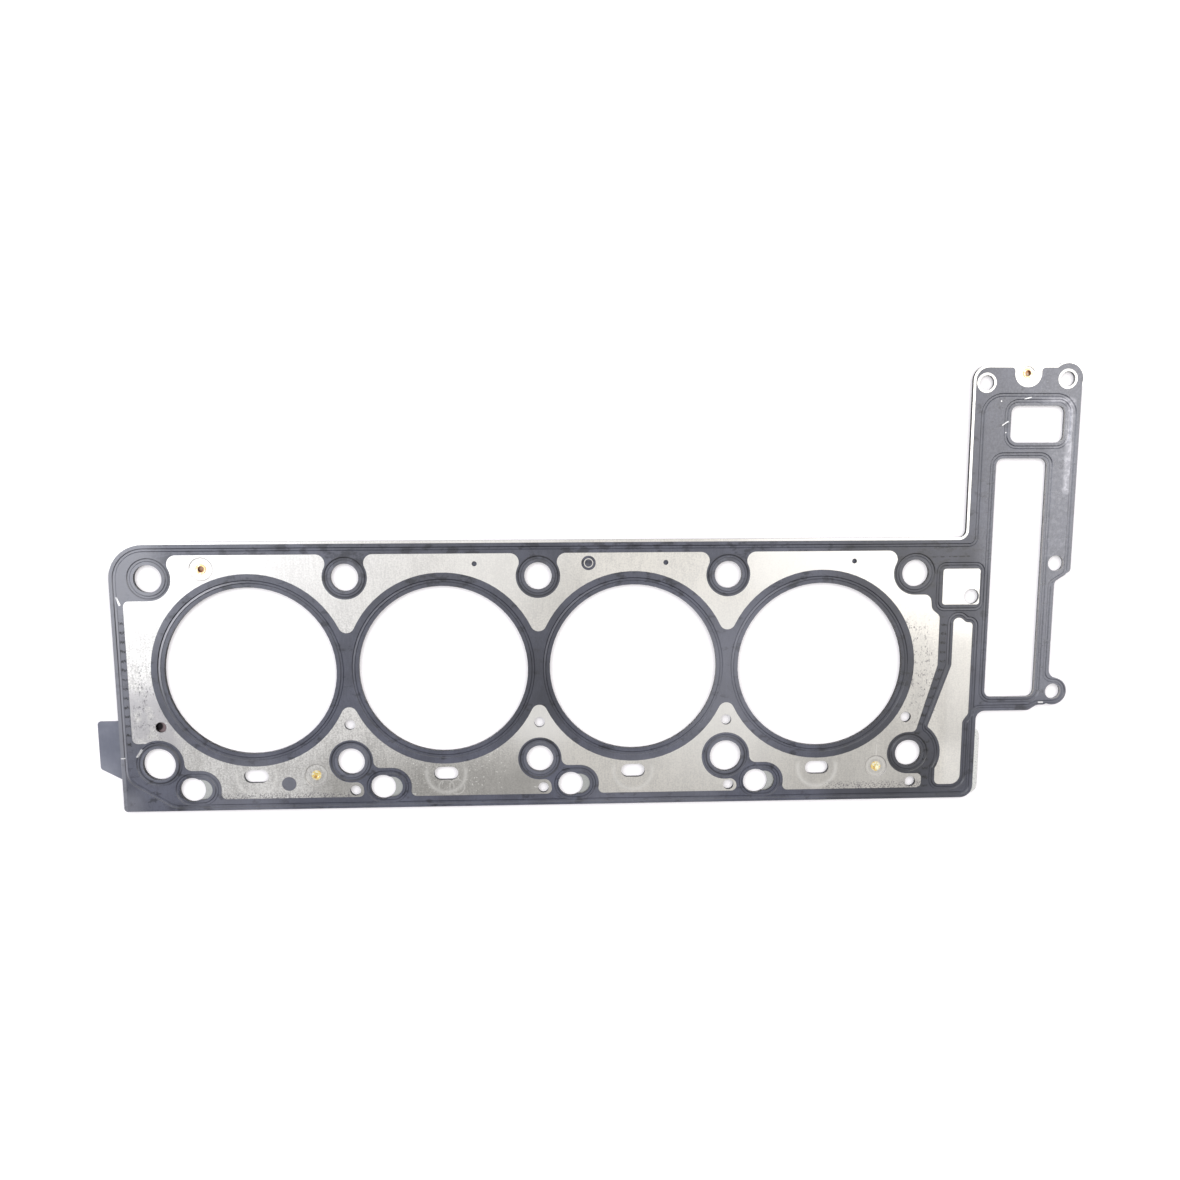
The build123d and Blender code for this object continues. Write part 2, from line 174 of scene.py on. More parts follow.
def split(vector):
    axes = vector.add("ShaderNodeSeparateXYZ", {}, {0: vector}).socket.node
    return [Wire(vector.tree, axis) for axis in axes.outputs]


def distance(spot, x, y):
    return spot.add("ShaderNodeVectorMath", {"operation": "DISTANCE"}, {0: spot, 1: (x, y, 0)}, output=1)


def disc(spot, x, y, radius, fade):
    return falling(distance(spot, x, y), radius - fade, radius + fade)


def ringMark(spot, x, y, radius, width, fade):
    return falling(abs(distance(spot, x, y) - radius), width / 2 - fade, width / 2 + fade)


# A straight scratch between two places
def scratch(spot, start, end, width, fade):
    along = (end[0] - start[0], end[1] - start[1])
    length = math.hypot(*along)
    unit = (along[0] / length, along[1] / length, 0)
    across = (-unit[1], unit[0], 0)
    dot = {"operation": "DOT_PRODUCT"}
    fromStart = spot.add(
        "ShaderNodeVectorMath", {"operation": "SUBTRACT"}, {0: spot, 1: (start[0], start[1], 0)}
    )
    run = spot.add("ShaderNodeVectorMath", dot, {0: fromStart, 1: unit}, output=1)
    aside = spot.add("ShaderNodeVectorMath", dot, {0: fromStart, 1: across}, output=1)
    return falling(abs(aside), width / 2 - fade, width / 2 + fade) * between(run, 0, length, fade)


def highest(masks):
    top, *others = masks
    for mask in others:
        top = top | mask
    return top


# Masks from rows of a dictionary. A box is left, right, bottom, top and fade, and a round patch is
# x, y, where it begins to fade and where it ends. The last number of both is how strong they are.
def boxes(x, y, rows):
    return highest(inBox(x, y, *row[:-1]) * row[-1] for row in rows)


def rounds(spot, rows):
    return highest(falling(distance(spot, *row[:2]), *row[2:4]) * row[4] for row in rows)


# A row here is start, end, width and fade
def scratches(spot, rows):
    return highest(scratch(spot, *row) for row in rows)


def mix(mask, under, over):
    return mask.add("ShaderNodeMix", {"data_type": "RGBA"}, {0: mask, 6: under, 7: over}, output=2)


# Noise settings in the dictionaries are scale per mm, detail and roughness
def noise(spot, scale, detail, roughness):
    return spot.add(
        "ShaderNodeTexNoise", {}, {"Vector": spot, "Scale": scale, "Detail": detail, "Roughness": roughness}
    )


# Patches of noise: the last two settings are where they begin to show and where they are full
def patches(spot, scale, detail, roughness, low, high):
    return rising(noise(spot, scale, detail, roughness), low, high)


def stretched(spot, x, y):
    return spot.add("ShaderNodeVectorMath", {"operation": "MULTIPLY"}, {0: spot, 1: (x, y, 1)})


def bump(height, strength, depth):
    return height.add(
        "ShaderNodeBump", {}, {"Height": height, "Strength": strength, "Distance": depth / 1000}
    )


# Cut edges: 1 where the surface stands upright. The materials paint them nearly black, a painted shade of
# the stack's side walls and the gaps between its sheets. They're brighter on the arm.
cut = {
    "lean": (0.25, 0.50),
    "arm": (404, 410),
    "armShine": 0.75,
}


def cutEdge(spot):
    normal = spot.add("ShaderNodeTexCoord", {}, {}, output="Normal")
    upward = split(normal)[2]
    along = split(spot)[0]
    return falling(abs(upward), *cut["lean"]) * (1 - rising(along, *cut["arm"]) * cut["armShine"])


# Starts a material: gives the place in millimetres as a vector, x, y and z
def newMaterial(name):
    material = bpy.data.materials.new(name)
    material.use_nodes = True
    tree = material.node_tree
    tree.nodes.clear()
    where = Wire(tree, None).add("ShaderNodeTexCoord", {}, {}, output="Object")
    spot = where.add("ShaderNodeVectorMath", {"operation": "SCALE"}, {0: where, "Scale": 1000.0})
    x, y, z = split(spot)
    return material, spot, x, y, z


def finish(start, values):
    shader = start.add("ShaderNodeBsdfPrincipled", {}, values)
    shader.add("ShaderNodeOutputMaterial", {}, {"Surface": shader})


def give(node, material):
    nodes[node].data.materials.clear()
    nodes[node].data.materials.append(material)


# Bare rolled spring steel of the upper sheet
steel = {
    "cool": (0.92, 0.91, 0.90, 1),
    "warm": (0.95, 0.92, 0.86, 1),
    "shade": (0.58, 0.57, 0.56, 1),
    "stain": (0.56, 0.55, 0.58, 1),
    "dusk": (0.53, 0.52, 0.50, 1),
    "gloom": (0.38, 0.37, 0.355, 1),
    "speck": (0.17, 0.16, 0.18, 1),
    "polishAndGleam": (0.98, 0.97, 0.95, 1),
    "edge": (0.025, 0.022, 0.024, 1),
    "wallShade": (0.44, 0.43, 0.42, 1),
    "roughness": 0.34,
    "top": boxOf("upper_layer")[1][2],
    "grain": (1.2, 4.0, 0.65),
    "clouds": (0.05, 3.0, 0.55),
    "fine": (1.1, 4.0, 0.8),
    "toneRange": (0.41, 0.59),
    "evenX": (90, 165),
    "evenY": (10, 40),
    "evenness": 0.55,
    "warmX": (10, 220),
    "paintedGleams": [(*paintedGleamPlace, 14, 82, 0.7), (159, -34, 6, 26, 0.7)],
    "armX": (390, 394),
    "paintedArmGleam": 0.3,
    "topY": (20, 52),
    "topRight": (250, 290),
    "topMiddle": (112, 172, 14),
    "heldField": (-80, -40, -48, -10, 9),
    "heldPatches": (0.12, 3.0, 0.6, 0.30, 0.52),
    "paintedShadeRounds": [(336, -56, 8, 64, 0.52), (172, 42, 8, 26, 0.3)],
    "paintedShadeBoxes": [
        (34, 166, -90, -50, 15, 0.9),
        (348, 384, -90, 16, 12, 0.55),
        (384, 420, -48, 16, 8, 0.45),
        (-84, -24, -60, -10, 10, 0.3),
    ],
    "slotY": -60.0,
    "press": {"radius": 11.0, "width": 1.5, "fade": 1.4},
    "pressShine": 0.52,
    "flat": {"radius": 5.0, "width": 0.8, "fade": 0.9},
    "flatShine": 0.38,
    "tail": {"width": 0.5, "fade": 0.3},
    "tailRun": (4, 13),
    "ring": {"radius": 4.2, "width": 0.7, "fade": 0.3},
    "ringPlaces": [(106, -68), (112, -68)],
    "fineShine": 0.35,
    "speckFields": [(-66, -46, -42, 6, 6, 0.9), (362, 386, -34, 26, 5, 0.9)],
    "fieldPatches": (0.22, 2.0, 0.6, 0.42, 0.62),
    "crumbs": (1.3, 3.0, 0.75, 0.53, 0.62),
    "speckRuns": [(-22, 52, -74, -70, 1.2, 0.75), (322, 384, -74, -69, 1.6, 0.75)],
    "dust": (1.2, 2.0, 0.7, 0.50, 0.58),
    "pointField": (62, 140, -71, -42, 6),
    "points": (0.9, 1.0, 0.5, 0.665, 0.72),
    "pointShine": 0.7,
    "nicks": [((71, -71.2), (89, -71.8), 0.35, 0.2), ((155, -68.7), (160, -69.2), 0.4, 0.2)],
    "nickPatches": (0.9, 2.0, 0.7, 0.42, 0.52),
    "nickShine": 0.8,
    "drawn": (0.03, 0.46, 0.03),
}


def bareSteel():
    material, spot, x, y, z = newMaterial("bare rolled steel")
    plain = flat(x, y)
    folded = flat(repeated(x, borePitch), y)

    # Rolled grain, which is faint away from the low left field
    grain = noise(stretched(spot, 1.0, 0.12), *steel["grain"])
    clouds = noise(stretched(spot, 1.0, 0.6), *steel["clouds"])
    fine = noise(spot, *steel["fine"])
    tone = rising(grain * 0.20 + clouds * 0.24 + fine * 0.56, *steel["toneRange"])
    even = (rising(x, *steel["evenX"]) | rising(y, *steel["evenY"])) * steel["evenness"]
    tone = tone * (1 - even) + even * 0.5
    # Cooler at the left and warmer towards the right: a painted tint of the lamps' colours
    bright = mix(rising(x, *steel["warmX"]), steel["cool"], steel["warm"])
    colour = mix(tone, steel["shade"], bright)

    # Painted reflection: a painted gleam between the last two bores, low between the middle ones, on the
    # arm and along the top
    paintedGleam = rounds(plain, steel["paintedGleams"]) | rising(x, *steel["armX"]) * steel["paintedArmGleam"]
    alongTop = rising(x, *steel["topRight"]) * 0.7 | between(x, *steel["topMiddle"]) * 0.35
    paintedGleam = paintedGleam | rising(y, *steel["topY"]) * alongTop
    colour = mix(paintedGleam, colour, steel["polishAndGleam"])

    # Duller where the sheet was held, at the low end of the left field; painted shade of darker reflections
    # along the bottom and in a few patches
    held = inBox(x, y, *steel["heldField"]) * patches(spot, *steel["heldPatches"])
    colour = mix(held, colour, steel["stain"])
    paintedShade = boxes(x, y, steel["paintedShadeBoxes"]) | rounds(plain, steel["paintedShadeRounds"])
    colour = mix(paintedShade, colour, mix(tone, steel["gloom"], steel["dusk"]))

    # Pressed marks under each coolant slot
    press = ringMark(folded, 0, steel["slotY"], **steel["press"])
    press = press * falling(y, steel["slotY"] + 1, steel["slotY"] + 5)
    marks = press * steel["pressShine"]

    # Flats round the middle rivets with a scratch above each, and two faint rings below the second bore
    for rivetX, rivetY in rivetPlaces[1:3]:
        low, high = [(rivetX, rivetY + run) for run in steel["tailRun"]]
        marks = marks | ringMark(plain, rivetX, rivetY, **steel["flat"]) * steel["flatShine"]
        marks = marks | scratch(plain, low, high, **steel["tail"]) * steel["fineShine"]
    for ringX, ringY in steel["ringPlaces"]:
        marks = marks | ringMark(plain, ringX, ringY, **steel["ring"]) * steel["fineShine"]
    colour = mix(marks, colour, steel["polishAndGleam"])

    # Dark specks where the sheet was handled: the left field, the right field and the bottom run
    crumbs = patches(stretched(spot, 1.0, 0.6), *steel["crumbs"])
    specks = boxes(x, y, steel["speckFields"]) * patches(spot, *steel["fieldPatches"]) * crumbs
    specks = specks | boxes(x, y, steel["speckRuns"]) * patches(spot, *steel["dust"])
    colour = mix(specks, colour, steel["speck"])

    # Small bright points in the low field of the second bore, and scratches near the bottom edge
    points = patches(spot, *steel["points"]) * inBox(x, y, *steel["pointField"])
    colour = mix(points * steel["pointShine"], colour, steel["polishAndGleam"])
    nicks = scratches(plain, steel["nicks"]) * patches(spot, *steel["nickPatches"])
    colour = mix(nicks * steel["nickShine"], colour, steel["polishAndGleam"])

    # The drawn walls of the cups and beads are matt, and painted darker as painted shade, most of all along
    # the bottom
    wallShade = between(steel["top"] - z, *steel["drawn"]) * (falling(y, -50, -40) * 0.75 + 0.08)
    colour = mix(wallShade, colour, steel["wallShade"])
    # Cut edges painted nearly black: painted shade
    edges = cutEdge(spot)
    colour = mix(edges, colour, steel["edge"])

    rough = steel["roughness"] + (grain - 0.5) * 0.08 + (fine - 0.5) * 0.14 + specks * 0.25
    rough = rough + edges * 0.25 + wallShade * 0.5
    finish(colour, {
        "Base Color": colour,
        "Metallic": 1.0,
        "Roughness": rough,
        "Normal": bump(grain * 0.25 + fine * 0.6 - specks * 0.6, 0.40, 0.02),
    })
    return material


# Dark elastomer that is screen printed on the upper sheet
coat = {
    "colour": (0.020, 0.024, 0.048, 1),
    "pale": (0.056, 0.062, 0.100, 1),
    "dark": (0.006, 0.006, 0.009, 1),
    "paintedHighlight": (0.50, 0.50, 0.56, 1),
    "wornAndSheen": (0.19, 0.195, 0.23, 1),
    "edge": (0.020, 0.019, 0.022, 1),
    "bare": (0.88, 0.88, 0.89, 1),
    "roughness": 0.36,
    "ior": 1.95,
    "top": 1000 * cadBox[1].z,
    "left": boxOf("upper_print")[0][0],
    "fine": (1.5, 3.0, 0.75),
    "clouds": (0.045, 3.0, 0.6),
    "weave": (0.9, 2.0, 0.6),
    "toneRange": (0.40, 0.62),
    "topY": (30, 60),
    "armX": (396, 404),
    "blots": (0.13, 3.0, 0.65),
    "blotRange": (0.56, 0.68),
    "blotting": 0.55,
    "beadWall": (0.05, 0.44, 0.04),
    "beadFloor": (0.45, 0.49),
    "litBeadsOnce": [(-40, 26, 20, 50, 0.62)],
    "litBeadsEach": [(-42, 28, 14, 44, 0.16)],
    "litEdgeX": (-73, -69),
    "paintedGleam": [(*paintedGleamPlace, 10, 66, 1.0)],
    "insideBolt": (1.9, 3.0),
    "outsideBolt": (3.1, 4.0, 0.4),
    "dot": (18.0, -64.7, 4.1, 0.4),
    "dotWear": 0.34,
    "shading": 0.65,
    "shadeRounds": [(372, -58, 10, 48, 1.0), (150, -8, 12, 50, 0.75)],
    "shadeBoxes": [(322, 408, -84, 74, 12, 0.72), (-64, -42, -38, 12, 8, 0.34)],
    "arm": (406, 460, 55, 170, 5),
    "armEnd": (396, 464, 118, 174, 8),
    "sheenSide": (443, 458, 58, 146, 3),
    "sheenBand": (452.6, 456.6, 96, 148, 1.2),
    "rail": (440, 462, -20, 170, 6),
    "sheenNoise": (0.42, 3.0, 0.75, 0.42, 0.62),
    "spots": (0.9, 3.0, 0.75, 0.52, 0.66),
    "grit": (0.9, 3.0, 0.85, 0.42, 0.60),
    "tickStart": 2.9,
    "tickStep": 5.25,
    "tickStrips": [(379.4, 383.2, -73, -43, 0.4, 1.0), (-70.2, -67.2, -45, 32, 0.4, 1.0)],
    "slantStrip": (386.9, 390.4, -42, 25, 0.4),
    "slantTop": -1.5,
    "slantRun": 39.0,
    "slantPitch": 0.33,
    "lines": [((381, 66), (391, 66.4), 0.6, 0.3), ((380, 61), (402, 61.3), 0.7, 0.3)],
    "linePatches": (0.8, 2.0, 0.5, 0.42, 0.50),
    "scratches": [
        ((-65, -48), (-62, -43.5), 0.9, 0.25),
        ((-74, -48.5), (-71.5, -48.5), 0.5, 0.2),
        ((-74, -48.5), (-74, -61), 0.35, 0.2),
        ((-70.5, 42), (-68.6, 37.5), 1.0, 0.3),
        ((416.1, 133.7), (419.6, 135.9), 0.45, 0.2),
        ((427.8, 147.9), (431.7, 149.0), 0.45, 0.2),
        ((446, -23.5), (449, -23.5), 0.7, 0.3),
    ],
    "chips": [(415.0, 146.9, 0.35, 0.2), (418.6, 129.8, 0.3, 0.2)],
}


def printedCoating():
    material, spot, x, y, z = newMaterial("printed elastomer")
    plain = flat(x, y)
    folded = flat(repeated(x, borePitch), y)
    fine = noise(spot, *coat["fine"])
    clouds = noise(spot, *coat["clouds"])
    weave = noise(stretched(spot, 1.0, 0.3), *coat["weave"])
    tone = rising(clouds * 0.5 + fine * 0.3 + weave * 0.2, *coat["toneRange"])
    colour = mix(tone, coat["colour"], coat["pale"])

    # Dark blots, with more of them along the top
    upper = rising(y, *coat["topY"]) * falling(x, *coat["armX"])
    blots = noise(stretched(spot, 1.0, 1.6), *coat["blots"])
    blots = rising(blots + upper * 0.07, *coat["blotRange"])
    colour = mix(blots * coat["blotting"], colour, coat["dark"])

    # Painted shade on the walls of the pressed beads, darker round the first bore and lighter where the
    # sheet gleams, and a painted highlight along their floors, mostly round the first bore and along the
    # left edge
    depth = coat["top"] - z
    floor = rising(depth, *coat["beadFloor"])
    bored = falling(distance(folded, 0, 0), boreRadius + 4.6, boreRadius + 5.6)
    litBeads = rounds(plain, coat["litBeadsOnce"]) | rounds(folded, coat["litBeadsEach"])
    atEdge = falling(x, *coat["litEdgeX"]) * 0.55
    paintedGleam = rounds(plain, coat["paintedGleam"])
    wallShade = between(depth, *coat["beadWall"]) * (0.42 + bored * litBeads) * (1 - paintedGleam * 0.7)
    colour = mix(wallShade, colour, coat["dark"])
    colour = mix(floor * (bored * litBeads | atEdge), colour, coat["paintedHighlight"])

    # Paler inside the beads of the bolt holes, and painted shade as a dark line outside them
    bolts = flat(repeated(x - borePitch / 2, borePitch), abs(y - boltMiddle) - boltReach)
    away = distance(bolts, 0, 0) - boltRadius
    outside = between(away, *coat["outsideBolt"]) * 0.6
    colour = mix(falling(away, *coat["insideBolt"]) * 0.25, colour, coat["wornAndSheen"])
    colour = mix(outside, colour, coat["dark"])

    # The round dot below the first bore is printed thinner
    colour = mix(disc(plain, *coat["dot"]) * coat["dotWear"], colour, coat["wornAndSheen"])

    # Painted shade: darker round the last bolt, over the last bore, beside the first and between the middle
    # ones
    shade = rounds(plain, coat["shadeRounds"]) | boxes(x, y, coat["shadeBoxes"])
    shade = shade | between(x, 60, 185, 20) * rising(y, -45, -15) * 0.35
    colour = mix(shade * coat["shading"], colour, coat["dark"])

    # Painted light: paler where the sheet gleams, towards its first end and corner, and at two places along
    # the bottom
    firstEnd = falling(x, -70, -58) * (rising(y, -60, -20) | falling(y, -74, -64)) * 0.40
    firstCorner = falling(x, -56, -38) * rising(y, 0, 40) * 0.74
    firstEdge = falling(x, coat["left"] + 1.6, coat["left"] + 2.4) * 0.7
    alongBottom = between(x, -34, 14, 12) * 0.26 | between(x, 186, 262, 10) * 0.22
    bottom = falling(y, -56, -44) * alongBottom
    paler = highest([paintedGleam * 0.42, firstEnd, firstCorner, firstEdge, bottom])
    colour = mix(paler * (1 - wallShade), colour, coat["wornAndSheen"])

    # Worn lighter coat on the timing arm, most of all near its end; along its outer side a lighter strip
    # and a band beside the outer bead are painted sheen
    # The band beside the arm's outer bead is a painted highlight
    sheenBand = inBox(x, y, *coat["sheenBand"])
    sheenBand = sheenBand | rising(x, 434, 448) * falling(x, 454, 456) * between(y, 146.2, 148.6, 0.9)
    sheenNoise = patches(spot, *coat["sheenNoise"])
    spots = patches(spot, *coat["spots"])
    grit = patches(stretched(spot, 1.0, 0.7), *coat["grit"])
    wornAndSheen = highest([
        inBox(x, y, *coat["arm"]) * (0.10 + grit * 0.24),
        inBox(x, y, *coat["sheenSide"]) * (0.20 + sheenNoise * 0.65),
        inBox(x, y, *coat["rail"]) * (0.38 + grit * 0.25),
        inBox(x, y, *coat["armEnd"]) * (0.24 + grit * 0.26 + spots * 0.45) * rising(x, 400, 436),
    ])
    colour = mix(wornAndSheen, colour, coat["wornAndSheen"])
    colour = mix(sheenBand * (0.35 + sheenNoise * 0.35), colour, coat["paintedHighlight"])

    # Dark ticks across the strips beside the last and the first bore. One strip leans at its foot.
    rung = falling(abs(repeated(y + weave * 3.0 - coat["tickStart"], coat["tickStep"])), 0.35, 1.0)
    below = coat["slantTop"] - y
    lean = below.add("ShaderNodeClamp", {}, {"Value": below, "Min": 0.0, "Max": coat["slantRun"]})
    slantStrip = inBox(x + lean * coat["slantPitch"], y, *coat["slantStrip"])
    ticks = rung * (slantStrip | boxes(x, y, coat["tickStrips"])) * rising(fine, 0.38, 0.54)
    ticks = ticks | scratches(plain, coat["lines"]) * patches(spot, *coat["linePatches"])
    colour = mix(ticks, colour, coat["dark"])

    # Places where the coat is scratched or chipped down to the steel
    bare = scratches(plain, coat["scratches"]) | highest(disc(plain, *chip) for chip in coat["chips"])
    colour = mix(bare, colour, coat["bare"])
    # Cut edges painted nearly black: painted shade
    edges = cutEdge(spot)
    colour = mix(edges, colour, coat["edge"])

    # Dark places are a little metallic too, because a plain coat never looks darker than its gloss
    metal = bare * 0.9 + wornAndSheen * 0.25
    metal = highest([metal, wallShade * 0.6, blots * 0.28, ticks * 0.5, outside * 0.3, shade * 0.25])
    finish(colour, {
        "Base Color": colour,
        "Roughness": coat["roughness"] + (fine - 0.5) * 0.16 - blots * 0.06 - wornAndSheen * 0.08 + edges * 0.3,
        "Metallic": metal,
        "IOR": coat["ior"],
        "Normal": bump(fine * 0.6 + weave * 0.4 - bare, 0.45, 0.03),
    })
    return material


# Flat steel of the carrier: it shows at its edges, in the small holes and as a bare strip below, which
# carries painted shade
carrier = {
    "colour": (0.80, 0.81, 0.80, 1),
    "speck": (0.36, 0.38, 0.38, 1),
    "edge": (0.025, 0.022, 0.024, 1),
    "roughness": 0.42,
    "grain": (2.4, 3.0, 0.6),
    "crumbs": (1.6, 3.0, 0.75, 0.50, 0.64),
    "armX": (404, 409),
    "oily": (-44, 310, -78, -58, 1),
    "oil": 0.5,
}


def carrierSteel():
    material, spot, x, y, z = newMaterial("carrier steel")
    grain = noise(stretched(spot, 1.0, 0.06), *carrier["grain"])
    crumbs = patches(spot, *carrier["crumbs"])
    flecks = crumbs * (rising(x, *carrier["armX"]) * 0.7 + 0.15)
    # Painted shade over the strip below, speckled
    oily = inBox(x, y, *carrier["oily"]) * carrier["oil"]
    colour = mix(flecks | (oily + oily * crumbs * 0.6), carrier["colour"], carrier["speck"])
    # Cut edges painted nearly black: painted shade
    colour = mix(cutEdge(spot), colour, carrier["edge"])
    finish(colour, {
        "Base Color": colour,
        "Metallic": 1.0,
        "Roughness": carrier["roughness"] + (grain - 0.5) * 0.15,
        "Normal": bump(grain * 0.6 + crumbs * 0.4, 0.4, 0.02),
    })
    return material


# Thin dark coating on both faces of the lower sheet
lower = {
    "colour": (0.135, 0.145, 0.19, 1),
    "pale": (0.23, 0.24, 0.29, 1),
    "edge": (0.020, 0.018, 0.020, 1),
    "wellTint": (0.20, 0.15, 0.16, 1),
    "roughness": 0.42,
    "grain": (2.0, 3.0, 0.6),
    "clouds": (0.06, 3.0, 0.6, 0.35, 0.65),
    "bottomY": (-54, -42),
    "well": (-51.2, -31.0, 3.4, 0.3),
    "holeShade": (-52.7, -30.7, 2.4, 0.6),
}


def coatedSteel():
    material, spot, x, y, z = newMaterial("coated steel")
    plain = flat(x, y)
    grain = noise(stretched(spot, 1.0, 0.08), *lower["grain"])
    clouds = patches(spot, *lower["clouds"])
    paler = clouds * 0.5 + grain * 0.25 + falling(y, *lower["bottomY"]) * 0.3
    colour = mix(paler, lower["colour"], lower["pale"])

    # Painted shade fills all but the right side of the blind coolant hole, over a reddish floor
    holeShade = disc(plain, *lower["holeShade"])
    colour = mix(disc(plain, *lower["well"]), colour, lower["wellTint"])
    colour = mix(holeShade, colour, lower["edge"])
    # Cut edges painted nearly black: painted shade
    colour = mix(cutEdge(spot), colour, lower["edge"])
    finish(colour, {
        "Base Color": colour,
        "Metallic": holeShade * 0.6 + 0.35,
        "Roughness": lower["roughness"] + (grain - 0.5) * 0.2,
        "Normal": bump(grain, 0.4, 0.02),
    })
    return material


# Cold rolled stopper rings, bright beside the bores
stopper = {
    "colour": (0.66, 0.64, 0.62, 1),
    "heat": (0.50, 0.46, 0.42, 1),
    "edge": (0.04, 0.035, 0.035, 1),
    "roughness": 0.36,
    "lathe": (3.0, 2.0, 0.6),
}


def stopperSteel():
    material, spot, x, y, z = newMaterial("stopper steel")
    folded = flat(repeated(x, borePitch), y)
    lathe = noise(stretched(spot, 0.4, 0.4), *stopper["lathe"])
    inner = falling(distance(folded, 0, 0), boreRadius + 0.2, boreRadius + 1.0)
    colour = mix(inner * 0.5 + lathe * 0.3, stopper["colour"], stopper["heat"])
    # Cut edges painted nearly black: painted shade
    colour = mix(cutEdge(spot), colour, stopper["edge"])
    finish(colour, {
        "Base Color": colour,
        "Metallic": 1.0,
        "Roughness": stopper["roughness"] + (lathe - 0.5) * 0.15,
        "Normal": bump(lathe, 0.3, 0.015),
    })
    return material


# Brass rivets: a solid flat head below, and a tube that is turned over above. Two are more coppery, with
# painted shade in their throats.
rivetDress = {
    "colour": (1.0, 0.76, 0.24, 1),
    "copper": (1.0, 0.60, 0.30, 1),
    "pale": (1.0, 0.98, 0.78, 1),
    "tarnish": (0.40, 0.20, 0.06, 1),
    "holeShade": (0.12, 0.035, 0.02, 1),
    "throatShade": {"rivet_1": 0.85, "rivet_4": 0.75},
    "roughness": 0.26,
    "hammered": (0.55, 2.0, 0.6),
    "fine": (3.5, 2.0, 0.6),
    "rim": (2.4, 2.8),
    "throat": (1.30, 1.65),
    "throatSpread": 0.4,
    "hollow": (0.5, 1.2),
    "hollowX": -0.7,
    "hollowY": -1.2,
}


def rivetBrass(name, rivetX, rivetY, dark):
    material, spot, x, y, z = newMaterial(name)
    plain = flat(x, y)
    hammered = noise(spot, *rivetDress["hammered"])
    fine = noise(spot, *rivetDress["fine"])
    brass = rivetDress["copper"] if dark else rivetDress["colour"]
    # Pale patches on the hammered brass are partly painted highlights
    colour = mix(rising(hammered, 0.42, 0.58), brass, rivetDress["pale"])
    away = distance(plain, rivetX, rivetY)
    rim = rising(away, *rivetDress["rim"])
    throat = falling(away - dark * rivetDress["throatSpread"], *rivetDress["throat"])
    hollowPlace = (rivetX + rivetDress["hollowX"], rivetY + rivetDress["hollowY"])
    hollow = falling(distance(plain, *hollowPlace), *rivetDress["hollow"])
    colour = mix(rim * (0.4 + dark * 0.4) | hollow * 0.6, colour, rivetDress["tarnish"])
    # Painted shade darkens the throats of the two coppery rivets
    colour = mix(throat * dark, colour, rivetDress["holeShade"])
    finish(colour, {
        "Base Color": colour,
        "Metallic": 0.75,
        "Roughness": rivetDress["roughness"] + (fine - 0.5) * 0.2 + rim * 0.1,
        "Normal": bump(hammered * 0.8 + fine * 0.2, 0.4, 0.12),
    })
    return material


give("upper_layer", bareSteel())
give("upper_print", printedCoating())
give("carrier_layer", carrierSteel())
give("lower_layer", coatedSteel())
stopperMaterial = stopperSteel()
for node in nodes:
    if node.startswith("stopper_ring"):
        give(node, stopperMaterial)
for number, (rivet, (rivetX, rivetY)) in enumerate(zip(rivets, rivetPlaces), 1):
    dark = rivetDress["throatShade"].get(rivet, 0.0)
    give(rivet, rivetBrass(f"rivet brass {number}", rivetX, rivetY, dark))
print("materials given to", len(nodes), "nodes")


# White table, which keeps the gasket's soft shadow
table = {
    "size": 4.0,
    "colour": (0.86, 0.84, 0.87, 1),
    "grain": (0.84, 0.82, 0.85, 1),
    "paper": (0.4, 2.0, 0.6),
    "lift": 0.18,
}


def whiteTable():
    mesh = bpy.data.meshes.new("table")
    half = table["size"] / 2
    middle = (cadBox[0] + cadBox[1]) / 2
    corners = [(-half, -half), (half, -half), (half, half), (-half, half)]
    mesh.from_pydata([(middle.x + x, middle.y + y, 0) for x, y in corners], [], [(0, 1, 2, 3)])
    top = bpy.data.objects.new("table", mesh)
    bpy.context.scene.collection.objects.link(top)
    material, spot, x, y, z = newMaterial("white table")
    colour = mix(noise(spot, *table["paper"]), table["colour"], table["grain"])
    diffuse = colour.add("ShaderNodeBsdfDiffuse", {}, {"Color": colour})

    # The camera and the gloss of the metal see the table a little brighter than it is lit
    rays = colour.add("ShaderNodeLightPath", {}, {}, output="Is Camera Ray")
    glossy = Wire(rays.tree, rays.socket.node.outputs["Is Glossy Ray"])
    clear = Wire(rays.tree, rays.socket.node.outputs["Is Transmission Ray"])
    seen = (rays | glossy | clear) * table["lift"]
    glow = colour.add("ShaderNodeEmission", {}, {"Color": (1, 1, 1, 1), "Strength": seen})
    both = glow.add("ShaderNodeAddShader", {}, {0: diffuse, 1: glow})
    both.add("ShaderNodeOutputMaterial", {}, {"Surface": both})
    mesh.materials.append(material)


whiteTable()
print("table laid")


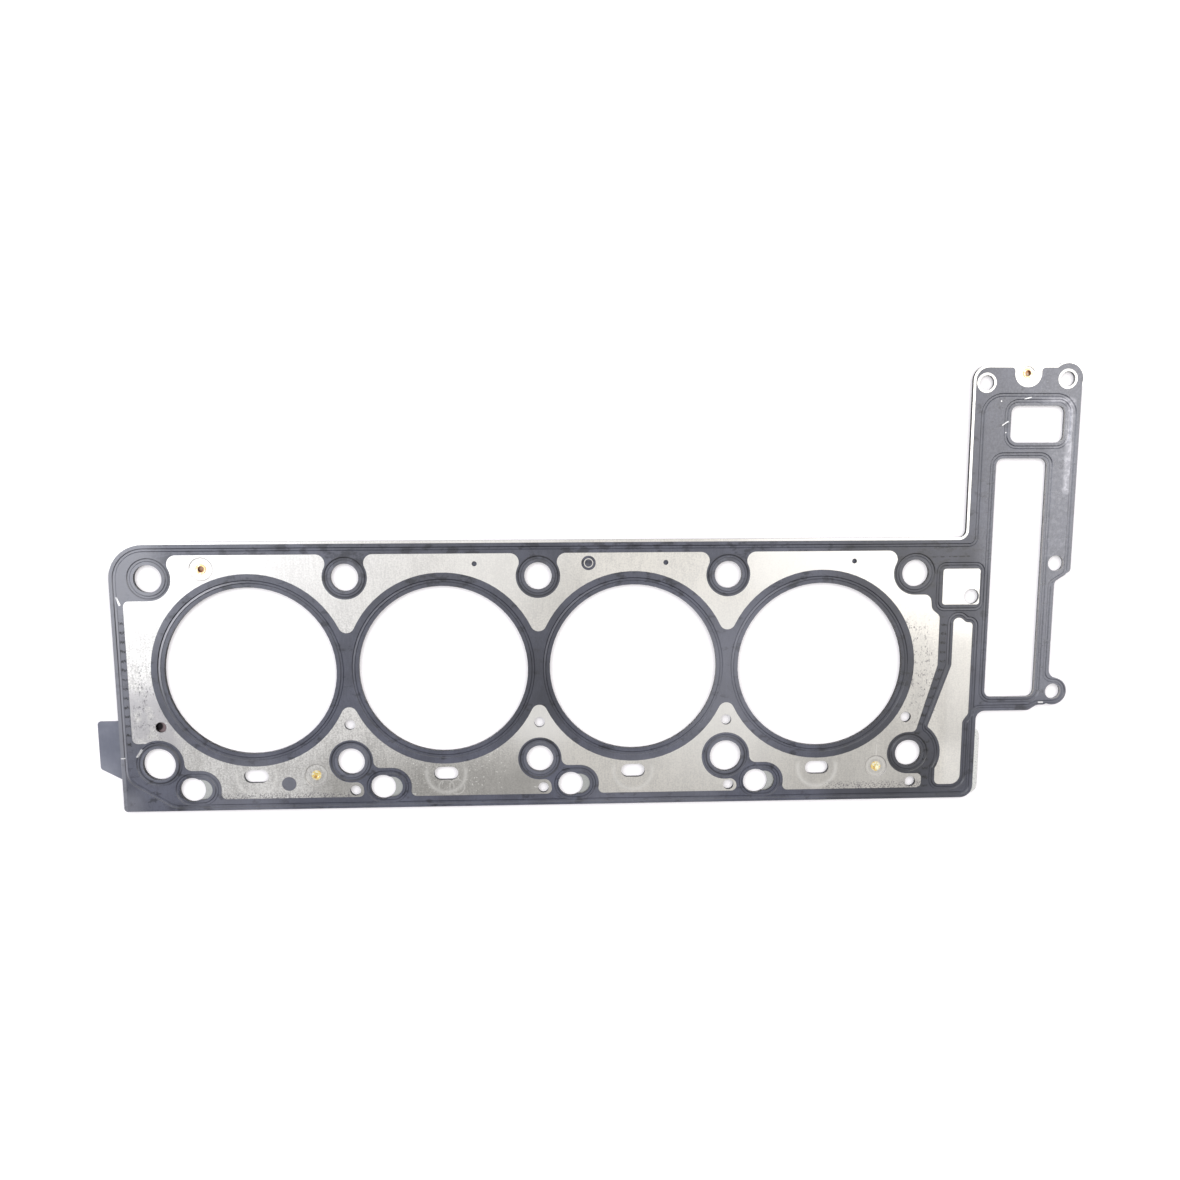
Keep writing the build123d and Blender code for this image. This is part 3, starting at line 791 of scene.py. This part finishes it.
# Soft studio light: one panel at each end of the table, one behind it, and a pale room
studio = {
    "panels": [
        {"name": "left panel", "place": (-0.60, 0.36, 0.93), "width": 1.0, "height": 0.8,
         "colour": (0.93, 0.95, 1.0), "radiance": 2.3},
        {"name": "right panel", "place": (1.08, 0.38, 1.00), "width": 1.2, "height": 0.9,
         "colour": (1.0, 0.975, 0.94), "radiance": 1.7},
        {"name": "back panel", "place": (0.19, 1.30, 0.70), "width": 1.4, "height": 0.5,
         "colour": (1.0, 1.0, 1.0), "radiance": 1.2},
    ],
    "front": (0.46, 0.455, 0.45, 1),
    "behind": (0.95, 0.94, 0.925, 1),
    "horizon": (0.95, 0.95, 0.96, 1),
    "ceilingFade": (-0.43, -0.10),
    "ceilingTurn": 0.08,
    "horizonFade": (0.08, 0.28),
}


def softPanel(name, place, width, height, colour, radiance):
    lamp = bpy.data.lights.new(name, "AREA")
    lamp.shape = "RECTANGLE"
    lamp.size = width
    lamp.size_y = height
    lamp.color = colour
    lamp.energy = radiance * math.pi * width * height
    holder = bpy.data.objects.new(name, lamp)
    holder.location = place
    middle = (cadBox[0] + cadBox[1]) / 2
    holder.rotation_euler = (middle - holder.location).to_track_quat("-Z", "Y").to_euler()
    bpy.context.scene.collection.objects.link(holder)


# The room is darker in front of the table than behind it, with a bright band along the horizon
def paleRoom():
    world = bpy.data.worlds.new("pale room")
    bpy.context.scene.world = world
    world.use_nodes = True
    world.node_tree.nodes.clear()
    where = Wire(world.node_tree, None).add("ShaderNodeTexCoord", {}, {}, output="Generated")
    across, away, up = split(where)
    back = rising(away + across * studio["ceilingTurn"], *studio["ceilingFade"])
    ceiling = mix(back, studio["front"], studio["behind"])
    colour = mix(rising(up, *studio["horizonFade"]), studio["horizon"], ceiling)
    room = colour.add("ShaderNodeBackground", {}, {"Color": colour, "Strength": 1.0})
    room.add("ShaderNodeOutputWorld", {}, {"Surface": room})


for panel in studio["panels"]:
    softPanel(**panel)
paleRoom()
print("light set")


# Camera at the photograph's viewing angle, nearly straight above the gasket
view = {
    "place": (0.167787, 0.106776, 0.497333),
    "turn": (-7.220, -2.334, -0.187),
    "lens": 27.457,
    "sensor": 36.0,
}
cameraData = bpy.data.cameras.new("camera")
cameraData.lens = view["lens"]
cameraData.sensor_width = view["sensor"]
camera = bpy.data.objects.new("camera", cameraData)
camera.location = view["place"]
camera.rotation_euler = [math.radians(angle) for angle in view["turn"]]
bpy.context.scene.collection.objects.link(camera)
bpy.context.scene.camera = camera
bpy.context.scene.view_settings.view_transform = "Standard"
print("camera set")
